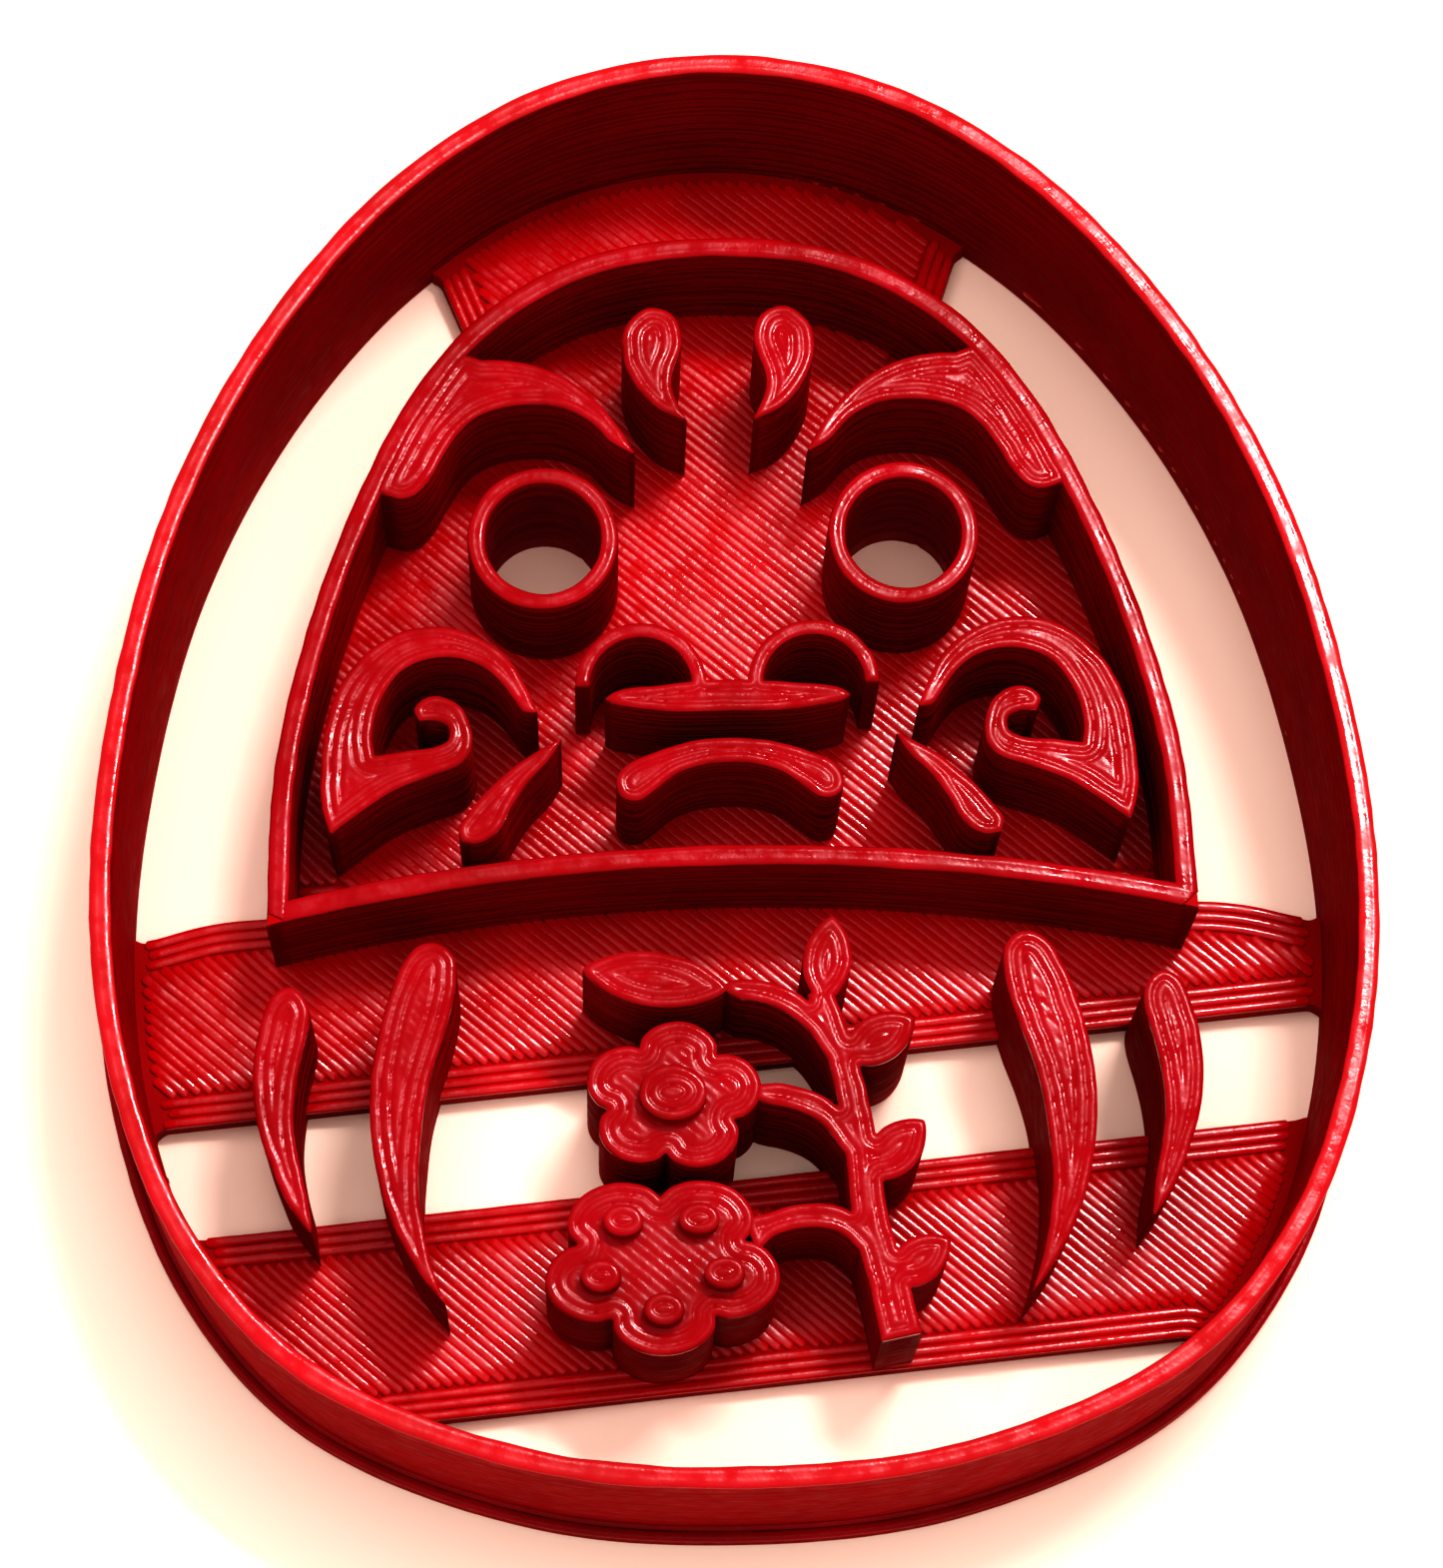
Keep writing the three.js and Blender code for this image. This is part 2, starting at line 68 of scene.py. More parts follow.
# The grooves between layers: their depth, at the top and elsewhere, and their height. Each ridge
# stands at RIDGE_PLACE in its layer, and each layer lies in by up to LAYER_SHIFT.
SCALLOP = 0.045
TOP_SCALLOP = SCALLOP * 1.2
GROOVE_HEIGHT = 0.03
RIDGE_PLACE = 0.55
LAYER_SHIFT = 0.006

# Unevenness of the print: its amount, and the size of its features.
WIDTH_WOBBLE = (0.05, 2.3)
HEIGHT_WOBBLE = (0.012, 3.1)
SIDE_WOBBLE = (0.004, 4.0)
TOP_WOBBLE = (0.008, 2.1)
CONTOUR_WOBBLE = (0.02, 1.7)
RASTER_WOBBLE = (0.012, 5.0)

# Ends of an open line, as shares of its width, and how far they sink.
END_OVERRUN = 0.3
END_WIDTH = 0.55
END_DROP = 0.05

# A line's foot and the groove along a double line, as shares of its half width.
FOOT_WIDTH = 0.9
GROOVE_WIDTH = 0.25

# How far lines and rib tops reach down into what they lie on.
SUNK = 0.3
RASTER_SUNK = 0.25

# A flat face's points differ in height by less than FLAT, and an outline that turns by more than
# CORNER stays sharp there. TINY keeps divisions safe, and FAR is farther than anything here.
FLAT = 1e-3
CORNER = math.radians(65)
TINY = 1e-9
FAR = 1e9

# A piece's material places, SIDES in painted shade, and the angle from which its shading shows an edge.
SIDES, TOPS = 0, 1
SHARP_ANGLE = math.radians(50)

rng = np.random.default_rng(7)
WAVES = 6
PHASES = rng.uniform(0, 2 * math.pi, (WAVES, 1))
HEADINGS = rng.uniform(0, 2 * math.pi, (WAVES, 1))


def wobble(x, y, scale):
    """Smooth pseudo-random field of about -1 to 1 with features of the given size."""
    x, y = np.atleast_1d(x).ravel(), np.atleast_1d(y).ravel()
    stretch = 2 * math.pi / scale * np.linspace(0.6, 1.7, WAVES)[:, None]
    waves = np.sin(stretch * (x * np.cos(HEADINGS) + y * np.sin(HEADINGS)) + PHASES)
    return waves.sum(0) / 3.0


def dip(x, y, unevenness):
    """How far an uneven surface sinks at each point, never less than 0."""
    amount, scale = unevenness
    return amount * (1 + wobble(x, y, scale)).clip(0, 2)


# ---------- outlines of the CAD nodes ----------

def node_loops(name):
    """Closed outlines of a CAD node's highest flat face: material on the left of each."""
    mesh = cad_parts[name].data
    co = np.array([v.co for v in mesh.vertices]) / MM
    top = co[:, 2].max()
    ids, points = {}, []

    def vertex_id(index):
        key = tuple(np.round(co[index, :2], 3))
        if key not in ids:
            ids[key] = len(points)
            points.append(co[index, :2])
        return ids[key]

    edges = set()
    for poly in mesh.polygons:
        if all(abs(co[i, 2] - top) < FLAT for i in poly.vertices):
            ring = [vertex_id(i) for i in poly.vertices]
            for a, b in zip(ring, ring[1:] + ring[:1]):
                if (b, a) in edges:
                    edges.remove((b, a))
                else:
                    edges.add((a, b))
    following = dict(edges)
    loops = []
    while following:
        start, current = following.popitem()
        loop = [start]
        while current != start:
            loop.append(current)
            current = following.pop(current)
        loops.append(np.array([points[i] for i in loop]))
    return sorted(loops, key=lambda p: -abs(area(p)))


def area(loop):
    following = np.roll(loop, -1, 0)
    return float((loop[:, 0] * following[:, 1] - following[:, 0] * loop[:, 1]).sum() / 2)


def smooth(loop, step=0.28):
    """The loop as a smooth curve through its points, sharp only at its real corners."""
    before, after = loop - np.roll(loop, 1, 0), np.roll(loop, -1, 0) - loop
    db, da = np.linalg.norm(before, axis=1), np.linalg.norm(after, axis=1)
    ub, ua = before / db[:, None], after / da[:, None]
    sharp = (ub * ua).sum(1) < math.cos(CORNER)
    tangent = (ub * da[:, None] + ua * db[:, None]) / (da + db)[:, None]
    out = []
    for i in range(len(loop)):
        j = (i + 1) % len(loop)
        t0 = (ua[i] if sharp[i] else tangent[i]) * da[i]
        t1 = (ua[i] if sharp[j] else tangent[j]) * da[i]
        count = max(1, math.ceil(da[i] / step))
        for s in np.arange(count) / count:
            out.append(
                (2 * s**3 - 3 * s**2 + 1) * loop[i] + (s**3 - 2 * s**2 + s) * t0
                + (3 * s**2 - 2 * s**3) * loop[j] + (s**3 - s**2) * t1
            )
    return np.array(out)


def side_normals(path, closed=True):
    """Unit normals to the right of the path, which is outward for a counter-clockwise loop."""
    if closed:
        along = np.roll(path, -1, 0) - np.roll(path, 1, 0)
    else:
        along = np.gradient(path, axis=0)
    along = along / np.maximum(np.linalg.norm(along, axis=1), TINY)[:, None]
    return np.column_stack([along[:, 1], -along[:, 0]])


def offset(loop, distance):
    """The loop moved sideways, away from its material for a positive distance, mitred at corners."""
    before, after = loop - np.roll(loop, 1, 0), np.roll(loop, -1, 0) - loop
    nb = np.column_stack([before[:, 1], -before[:, 0]]) / np.linalg.norm(before, axis=1)[:, None]
    na = np.column_stack([after[:, 1], -after[:, 0]]) / np.linalg.norm(after, axis=1)[:, None]
    mean = nb + na
    mean /= np.maximum(np.linalg.norm(mean, axis=1), TINY)[:, None]
    return loop + mean * (distance / np.maximum((mean * nb).sum(1), 0.5))[:, None]


def merged(loop, neighbours, full=0.36, reach=0.6, sink=0.2):
    """The loop, where it stops just short of a neighbouring outline, run on into that neighbour.

    It is moved all the way where the gap is full or less, and not at all from reach on.
    """
    nearest = np.full(len(loop), FAR)
    target = np.zeros_like(loop)
    for other in neighbours:
        for a, b in zip(other, np.roll(other, -1, 0)):
            along = b - a
            t = np.clip((loop - a) @ along / max(along @ along, 1e-12), 0, 1)
            foot = a + t[:, None] * along
            distance = np.linalg.norm(foot - loop, axis=1)
            closer = distance < nearest
            nearest[closer] = distance[closer]
            target[closer] = foot[closer]
    push = np.clip((reach - nearest) / (reach - full), 0, 1) ** 2 * (nearest + sink)
    return loop + (target - loop) / np.maximum(nearest, 1e-6)[:, None] * push[:, None]


def evened(loop, step):
    """The closed loop resampled to even steps."""
    points = np.vstack([loop, loop[:1]])
    lengths = np.r_[0, np.cumsum(np.linalg.norm(np.diff(points, axis=0), axis=1))]
    count = max(3, round(lengths[-1] / step))
    at = np.linspace(0, lengths[-1], count + 1)[:-1]
    return np.column_stack([np.interp(at, lengths, points[:, k]) for k in (0, 1)])


def runs(path, keep, closed):
    """The stretches of a path where keep is true, each with whether it is still a closed loop."""
    if keep.all():
        return [(path, closed)]
    if not keep.any():
        return []
    if closed:
        shift = int(np.argmin(keep))
        path, keep = np.roll(path, -shift, 0), np.roll(keep, -shift)
    found, start = [], None
    for i, ok in enumerate([*keep, False]):
        if ok and start is None:
            start = i
        elif not ok and start is not None:
            if i - start > 2:
                found.append((path[start:i], False))
            start = None
    return found


# ---------- fields on a grid ----------

def segment_distance(px, py, ax, ay, bx, by):
    dx, dy = bx - ax, by - ay
    t = np.clip(((px - ax) * dx + (py - ay) * dy) / max(dx * dx + dy * dy, 1e-12), 0, 1)
    return np.hypot(px - ax - t * dx, py - ay - t * dy)


def within(px, py, loops):
    """Whether each point lies inside the loops, by even and odd crossings."""
    inside = np.zeros(px.shape, bool)
    for loop in loops:
        for (ax, ay), (bx, by) in zip(loop, np.roll(loop, -1, 0)):
            if ay != by:
                spans = (ay > py) != (by > py)
                inside ^= spans & (px < ax + (py - ay) * (bx - ax) / (by - ay))
    return inside


def depth(px, py, loops):
    """Distance from each point to the nearest outline, positive inside the material."""
    nearest = np.full(px.shape, FAR)
    for loop in loops:
        for (ax, ay), (bx, by) in zip(loop, np.roll(loop, -1, 0)):
            nearest = np.minimum(nearest, segment_distance(px, py, ax, ay, bx, by))
    return np.where(within(px, py, loops), 1, -1) * nearest


class Grid:
    """A square grid of points that covers a box."""

    def __init__(self, low, high, cell):
        self.xs = np.arange(low[0], high[0] + cell, cell)
        self.ys = np.arange(low[1], high[1] + cell, cell)
        self.cell = cell
        self.px, self.py = np.meshgrid(self.xs, self.ys)

    def sample(self, values, x, y):
        """Values between the grid's points, bilinear."""
        fx = np.clip((x - self.xs[0]) / self.cell, 0, len(self.xs) - 1.001)
        fy = np.clip((y - self.ys[0]) / self.cell, 0, len(self.ys) - 1.001)
        j, i = fx.astype(int), fy.astype(int)
        u, v = fx - j, fy - i
        low = values[i, j] * (1 - u) + values[i, j + 1] * u
        high = values[i + 1, j] * (1 - u) + values[i + 1, j + 1] * u
        return low * (1 - v) + high * v

    def cut(self, values):
        """Marching squares of values > 0: (crossing points, cut cells' polygons, whole cells, links)."""
        inside = values > 0
        ones = inside.astype(int)
        total = ones[:-1, :-1] + ones[:-1, 1:] + ones[1:, :-1] + ones[1:, 1:]
        crossings, polygons, links = {}, [], {}
        for i, j in np.argwhere((total > 0) & (total < 4)):
            corners = [(i, j), (i, j + 1), (i + 1, j + 1), (i + 1, j)]
            edges = [("h", i, j), ("v", i, j + 1), ("h", i + 1, j), ("v", i, j)]
            polygon, leaving, entering = [], [], []
            for k in range(4):
                a, b = corners[k], corners[(k + 1) % 4]
                if inside[a]:
                    polygon.append(a)
                if inside[a] != inside[b]:
                    if edges[k] not in crossings:
                        t = values[a] / (values[a] - values[b])
                        pa = np.array([self.xs[a[1]], self.ys[a[0]]])
                        pb = np.array([self.xs[b[1]], self.ys[b[0]]])
                        crossings[edges[k]] = pa + t * (pb - pa)
                    polygon.append(edges[k])
                    (leaving if inside[a] else entering).append((k, edges[k]))
            polygons.append(polygon)
            for k, edge in leaving:
                after = min(entering, key=lambda e: (e[0] - k) % 4)
                links[edge] = after[1]
        return crossings, polygons, np.argwhere(total == 4), links

    def contours(self, values):
        """Closed lines where values is 0, with the positive side on the right."""
        crossings, _, _, links = self.cut(values)
        loops = []
        while links:
            start, current = links.popitem()
            loop = [start]
            while current != start and current in links:
                loop.append(current)
                current = links.pop(current)
            loops.append(np.array([crossings[key] for key in loop]))
        return [loop for loop in loops if len(loop) > 6]


def relaxed(loop, passes=3):
    """Takes the grid's small steps out of a contour."""
    for _ in range(passes):
        loop = (np.roll(loop, 1, 0) + 2 * loop + np.roll(loop, -1, 0)) / 4
    return loop


def thinned(loop, tolerance=0.004, longest=1.0):
    """Leaves out points of a closed loop that lie on straight stretches."""
    keep, i, n = [], 0, len(loop)
    while i < n:
        keep.append(i)
        j = i + 2
        while j <= n:
            a, b = loop[i], loop[j % n]
            chord = b - a
            length = np.linalg.norm(chord)
            between = loop[i + 1:j] - a
            off = np.abs(between[:, 0] * chord[1] - between[:, 1] * chord[0]) / max(length, TINY)
            if length > longest or off.max() > tolerance:
                break
            j += 1
        i = j - 1
    return loop[keep]


# ---------- mesh building ----------

def filled_triangles(loops):
    """Triangles that fill the outlines, as indices into their joined points."""
    points = np.vstack(loops)
    edges, base = [], 0
    for loop in loops:
        edges += [(base + i, base + (i + 1) % len(loop)) for i in range(len(loop))]
        base += len(loop)
    found = delaunay_2d_cdt([Vector(p) for p in points], edges, [], 0, 1e-7)
    # Where two edges cross, the new point stands for the nearest given one.
    origin = [
        ids[0] if ids else int(np.argmin(np.hypot(*(points - np.array(place)).T)))
        for place, ids in zip(found[0], found[3])
    ]
    triangles = np.array([[origin[i] for i in face] for face in found[2]])
    middle = points[triangles].mean(1)
    return triangles[within(middle[:, 0], middle[:, 1], loops)].tolist()


class Mesh:
    """Collects closed shells. Each face is painted as SIDES or TOPS, its material's place."""

    def __init__(self):
        self.vertices, self.faces, self.paints, self.count = [], [], [], 0

    def add(self, vertices, faces, paint):
        self.vertices.append(np.asarray(vertices, float))
        self.faces.extend([[i + self.count for i in face] for face in faces])
        self.paints.extend([paint] * len(faces))
        self.count += len(vertices)

    def tube(self, rings, closed):
        """Joins equal rings of points into a tube, with end caps unless it is closed lengthwise."""
        rings = np.asarray(rings)
        n, k = rings.shape[:2]
        faces = []
        for a in range(n if closed else n - 1):
            b = (a + 1) % n
            for c in range(k):
                d = (c + 1) % k
                faces.append([a * k + c, a * k + d, b * k + d, b * k + c])
        if not closed:
            faces.append(list(range(k))[::-1])
            faces.append([(n - 1) * k + c for c in range(k)])
        self.add(rings.reshape(-1, 3), faces, TOPS)


def bead(mesh, path, top, closed=False, width=LINE, below=SUNK, rise=SAG, arc=7, groove=0.0):
    """One filament line: rounded on top in arc points, its foot sunk in what it lies on."""
    path = np.asarray(path)
    if len(path) < 2:
        return
    swell, size = WIDTH_WOBBLE
    half = width / 2 * (1 + swell * wobble(path[:, 0], path[:, 1], size))
    height = top - dip(path[:, 1], path[:, 0], HEIGHT_WOBBLE)
    side = side_normals(path, closed)
    if not closed:
        along = np.column_stack([-side[:, 1], side[:, 0]])
        overrun = width * END_OVERRUN
        path = np.vstack([path[:1] - along[:1] * overrun, path, path[-1:] + along[-1:] * overrun])
        side = np.vstack([side[:1], side, side[-1:]])
        half = np.r_[half[0] * END_WIDTH, half, half[-1] * END_WIDTH]
        height = np.r_[height[0] - END_DROP, height, height[-1] - END_DROP]
    angles = np.linspace(0, math.pi, arc)
    across = np.r_[np.cos(angles), -FOOT_WIDTH, FOOT_WIDTH]
    hollow = groove * np.exp(-((np.cos(angles) / GROOVE_WIDTH) ** 2))
    up = np.r_[rise * (np.sin(angles) - 1) - hollow, -below, -below]
    rings = np.empty((len(path), len(across), 3))
    rings[:, :, :2] = path[:, None, :] + side[:, None, :] * (half[:, None] * across)[:, :, None]
    rings[:, :, 2] = height[:, None] + up
    mesh.tube(rings, closed)


def layered(mesh, loops, low, high, free=None):
    """A closed body with one soft ridge for each printed layer on its sides.

    free gives for each loop how much of the ridge each point has, from 0 to 1.
    """
    layers = max(1, round((high - low) / LAYER))
    heights, insets = [], []
    for k in range(layers):
        z = low + (high - low) * k / layers
        heights += [z + GROOVE_HEIGHT, z + (high - low) / layers * RIDGE_PLACE]
        insets += [SCALLOP, 0.0]
    heights[0], heights[-1] = low, high
    insets[0], insets[-1] = SCALLOP, TOP_SCALLOP
    shifts = LAYER_SHIFT * np.repeat(rng.uniform(0, 1, layers), 2)
    base, columns, vertices, faces = 0, [], [], []
    for n, loop in enumerate(loops):
        weight = np.ones(len(loop)) if free is None else free[n]
        normal = side_normals(loop)
        size = len(loop)
        for z, inset, shift in zip(heights, insets, shifts):
            wave = dip(loop[:, 0] + 3 * z, loop[:, 1] - 2 * z, SIDE_WOBBLE)
            ring = loop - normal * (weight * (inset + shift + wave))[:, None]
            vertices.append(np.column_stack([ring, np.full(size, z)]))
        for a in range(len(heights) - 1):
            for c in range(size):
                d = (c + 1) % size
                faces.append([
                    base + a * size + c, base + a * size + d,
                    base + (a + 1) * size + d, base + (a + 1) * size + c,
                ])
        columns.append((base, size))
        base += size * len(heights)
    top_row = len(heights) - 1
    bottom_ids = [b + i for b, size in columns for i in range(size)]
    top_ids = [b + top_row * size + i for b, size in columns for i in range(size)]
    for triangle in filled_triangles(loops):
        faces.append([bottom_ids[i] for i in triangle][::-1])
        faces.append([top_ids[i] for i in triangle])
    mesh.add(np.vstack(vertices), faces, SIDES)


def cushion(mesh, loops, top, cell=0.075, brim=0.012, roundness=0.88, fade=4, fill_sag=PLATE_SAG * 0.7):
    """The top of a rib: filament lines that follow its outline, then straight ones inside them.

    Its edge lies brim inside the outline, and fade says how abruptly the straight lines begin.
    """
    outline = np.vstack(loops)
    grid = Grid(outline.min(0) - 2 * cell, outline.max(0) + 2 * cell, cell)
    inner = depth(grid.px, grid.py, loops)
    crossings, polygons, whole, links = grid.cut(inner - brim)
    keys, points = {}, []

    def key_id(key):
        if key not in keys:
            keys[key] = len(points)
            if len(key) == 3:
                points.append((*crossings[key], brim))
            else:
                points.append((grid.xs[key[1]], grid.ys[key[0]], inner[key]))
        return keys[key]

    faces = []
    for i, j in whole:
        faces.append([key_id(corner) for corner in ((i, j), (i, j + 1), (i + 1, j + 1), (i + 1, j))])
    faces += [[key_id(key) for key in polygon] for polygon in polygons]

    x, y, far_in = np.array(points).T
    amount, size = CONTOUR_WOBBLE
    d = far_in + amount * wobble(x, y, size)
    across_fill = y * math.cos(RASTER_ANGLE) - x * math.sin(RASTER_ANGLE)
    straight_share = np.clip((d / LINE - RIM_LINES) * fade, 0, 1)
    lines = [2 * ((d / LINE) % 1.0) - 1, 2 * ((across_fill / RASTER) % 1.0) - 1]
    around, straight = [1 - np.sqrt(1 - roundness * np.clip(u, -1, 1) ** 2) for u in lines]
    drop = SAG * around * (1 - straight_share) + fill_sag * straight * straight_share
    rim = np.clip(1 - d / (LINE / 2), 0, 1)
    drop = np.maximum(drop, CREST * (1 - np.sqrt(np.clip(1 - rim**2, 0, 1))))
    z = top - drop - dip(y, x, TOP_WOBBLE)
    n = len(points)
    upper = np.column_stack([x, y, z])
    lower = np.column_stack([x, y, np.full(n, top - SUNK)])
    faces += [[i + n for i in face][::-1] for face in faces]
    faces += [[keys[a], keys[b], keys[b] + n, keys[a] + n] for a, b in links.items()]
    mesh.add(np.vstack([upper, lower]), faces, TOPS)


def ring_rib(mesh, loops, foot, top, step, slimmer=0.04, groove=0.03):
    """A rib two filament lines thick: one rounded crest with a faint groove along its middle."""
    layered(mesh, loops, foot, top - CREST)
    thickness = np.abs(depth(loops[0][:, 0], loops[0][:, 1], [loops[1]])).mean()
    middle = evened(offset(loops[0], -thickness / 2), step)
    bead(mesh, middle, top, True, width=thickness - slimmer, rise=CREST, arc=13, groove=groove)


def piece(name, mesh, nodes, top_material):
    """Makes the object that stands for the CAD nodes."""
    data = bpy.data.meshes.new(name)
    vertices = np.vstack(mesh.vertices) * MM
    data.from_pydata(vertices.tolist(), [], mesh.faces)
    data.materials.append(shaded_side_red)
    data.materials.append(top_material)
    data.polygons.foreach_set("material_index", mesh.paints)
    data.polygons.foreach_set("use_smooth", [True] * len(data.polygons))
    data.validate()
    data.set_sharp_from_angle(angle=SHARP_ANGLE)
    made = bpy.data.objects.new(name, data)
    bpy.context.scene.collection.objects.link(made)
    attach(made, "root")
    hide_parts(*nodes)


# ---------- materials ----------

def principled(name, colour, roughness):
    """A new material and its shader."""
    material = bpy.data.materials.new(name)
    material.use_nodes = True
    shader = material.node_tree.nodes["Principled BSDF"]
    shader.inputs["Base Color"].default_value = (*colour, 1)
    shader.inputs["Roughness"].default_value = roughness
    return material, shader


def noise(nodes, links, source, scale, detail=2.0):
    made = nodes.new("ShaderNodeTexNoise")
    made.inputs["Scale"].default_value = scale
    made.inputs["Detail"].default_value = detail
    links.new(source, made.inputs["Vector"])
    return made.outputs["Fac"]


def remap(nodes, links, source, low, high, to_low, to_high):
    made = nodes.new("ShaderNodeMapRange")
    sockets = ("From Min", "From Max", "To Min", "To Max")
    for socket, value in zip(sockets, (low, high, to_low, to_high)):
        made.inputs[socket].default_value = value
    links.new(source, made.inputs["Value"])
    return made.outputs["Result"]


def combine(nodes, links, operation, a, b):
    made = nodes.new("ShaderNodeMath")
    made.operation = operation
    links.new(a, made.inputs[0])
    links.new(b, made.inputs[1])
    return made.outputs["Value"]


def printed_plastic(name, deep, bright, roughness, shine):
    """Red filament: cloudy colour, patchy gloss, a fine grain, and the first layer's lines below."""
    material, shader = principled(name, bright, roughness)
    nodes, links = material.node_tree.nodes, material.node_tree.links
    place = nodes.new("ShaderNodeTexCoord").outputs["Object"]

    ramp = nodes.new("ShaderNodeValToRGB")
    ends = ramp.color_ramp.elements
    ends[0].position, ends[0].color = 0.30, (*deep, 1)
    ends[1].position, ends[1].color = 0.70, (*bright, 1)
    clouds = noise(nodes, links, place, scale=260.0, detail=3.0)
    links.new(clouds, ramp.inputs["Fac"])
    links.new(ramp.outputs["Color"], shader.inputs["Base Color"])

    patches = noise(nodes, links, place, scale=1300.0)
    gloss = remap(nodes, links, patches, 0.3, 0.7, roughness - 0.07, roughness + 0.22)
    links.new(gloss, shader.inputs["Roughness"])
    shader.inputs["Specular IOR Level"].default_value = shine

    # Lines of the first layer, only where the surface faces down.
    lines = nodes.new("ShaderNodeTexWave")
    lines.inputs["Scale"].default_value = math.pi / (10 * LINE * MM)
    lines.inputs["Distortion"].default_value = 0.4
    turned = nodes.new("ShaderNodeMapping")
    turned.inputs["Rotation"].default_value = (0, 0, RASTER_ANGLE)
    links.new(place, turned.inputs["Vector"])
    links.new(turned.outputs["Vector"], lines.inputs["Vector"])
    facing = nodes.new("ShaderNodeSeparateXYZ")
    links.new(nodes.new("ShaderNodeNewGeometry").outputs["Normal"], facing.inputs["Vector"])
    under = remap(nodes, links, facing.outputs["Z"], -0.9, -0.98, 0.0, 1.0)
    bed = combine(nodes, links, "MULTIPLY", lines.outputs["Fac"], under)

    grain = noise(nodes, links, place, scale=4200.0)
    bump = nodes.new("ShaderNodeBump")
    bump.inputs["Strength"].default_value = 0.5
    bump.inputs["Distance"].default_value = 0.02 * MM
    links.new(combine(nodes, links, "ADD", grain, bed), bump.inputs["Height"])
    links.new(bump.outputs["Normal"], shader.inputs["Normal"])
    return material


# The sides are the same red filament as the tops, darker by painted shade.
shaded_side_red = printed_plastic(
    "red_pla_sides_painted_shade", deep=(0.26, 0.0, 0.002), bright=(0.31, 0.0, 0.005), roughness=0.42, shine=0.07
)
# One filament on the tops: lighter on the plates by painted light, darkest on the ribs by painted shade.
plate_red = printed_plastic(
    "red_pla_plate", deep=(0.34, 0.0, 0.003), bright=(0.46, 0.0, 0.008), roughness=0.17, shine=0.70
)
rim_red = printed_plastic(
    "red_pla_rim", deep=(0.33, 0.0, 0.003), bright=(0.41, 0.0, 0.008), roughness=0.17, shine=0.60
)
rib_red = printed_plastic(
    "red_pla_rib", deep=(0.22, 0.0, 0.003), bright=(0.30, 0.0, 0.008), roughness=0.16, shine=0.28
)

# ---------- plates ----------

PLATES = ["top_bridge", "face_plate", "middle_band", "lower_band"]
PLATE_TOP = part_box("face_plate")[1].z / MM
CORE_TOP = PLATE_TOP - 0.15
RIB_FOOT = PLATE_TOP - 0.25
PLATE_CELL = 0.14

# Each diagonal line is a little wider than its spacing. Its sag varies, and so does its height.
RASTER_WIDTH = RASTER * 1.08
SAG_RANGE = (0.6, 1.3)
SINK_RANGE = (0, 0.012)
RASTER_MARGIN = LINE * EDGE_LINES + RASTER * 0.35

# The widest gap between CAD plates that the print closes, and how far a plate runs under the wall.
JOINT = 0.36
UNDER_WALL = 0.18
UNDER_JOINT = 0.12

# Where a plate's edge is in sight: off the wall's foot and outside the face rib. An outline round
# more than WHOLE_PLATE of the wall's inside is not such an edge, nor are fewer points than
# SHORTEST_EDGE. Each edge is run on at its ends by EDGE_RUN_ON, in the direction of its last
# steps, and the plate's side shows its layers up to AT_EDGE from it.
OFF_WALL = 0.1
OFF_FACE = -0.12
WHOLE_PLATE = 0.9
SHORTEST_EDGE = 8
LAST_STEPS = 5
EDGE_RUN_ON = 2.5
AT_EDGE = 0.12

# Where a plate's lines may lie: on its own side, up to the wall, and on solid ground.
OWN_SIDE = -0.02
INTO_WALL = -0.35
SOLID = 0.14

flange_loops = node_loops("base_flange")
wall_loops = [smooth(loop) for loop in node_loops("cutting_wall")]
wall_inner_area = area(wall_loops[1])
plate_grid = Grid(flange_loops[0].min(0) - 1, flange_loops[0].max(0) + 1, PLATE_CELL)


def plate_field(loops):
    return depth(plate_grid.px, plate_grid.py, loops)


plate_depths = [plate_field(node_loops(name)) for name in PLATES]
ring_depth = plate_field(flange_loops)
wall_depth = plate_field(flange_loops[1:])
face_depth = plate_field(node_loops("face_outline_rib")[:1])
stack = np.sort(-np.array([*plate_depths, ring_depth]), axis=0)
filled = np.maximum(-stack[0], JOINT - (stack[0] + stack[1]))


def open_edges():
    """The plates' edges that are in sight, each run on straight under the wall or rib at its ends."""
    found = []
    for loop in plate_grid.contours(filled):
        if abs(area(loop)) > WHOLE_PLATE * abs(wall_inner_area):
            continue
        loop = relaxed(loop)
        off_wall = plate_grid.sample(wall_depth, loop[:, 0], loop[:, 1]) > OFF_WALL
        off_face = plate_grid.sample(face_depth, loop[:, 0], loop[:, 1]) < OFF_FACE
        for part, _ in runs(loop, off_wall & off_face, True):
            if len(part) < SHORTEST_EDGE:
                continue
            ahead = part[-1] - part[-1 - LAST_STEPS]
            behind = part[0] - part[LAST_STEPS]
            end = part[-1] + ahead / np.linalg.norm(ahead) * EDGE_RUN_ON
            start = part[0] + behind / np.linalg.norm(behind) * EDGE_RUN_ON
            found.append(np.vstack([start, part, end]))
    return found


edge_depth = np.full(plate_grid.px.shape, FAR)
for line in open_edges():
    for (ax, ay), (bx, by) in zip(line[:-1], line[1:]):
        reached = segment_distance(plate_grid.px, plate_grid.py, ax, ay, bx, by)
        edge_depth = np.minimum(edge_depth, reached)
edge_depth = np.where(filled > 0, edge_depth, -edge_depth)
edge_lines = [
    evened(relaxed(loop), 0.4)
    for k in range(EDGE_LINES)
    for loop in plate_grid.contours(edge_depth - LINE * (k + 0.5))
]


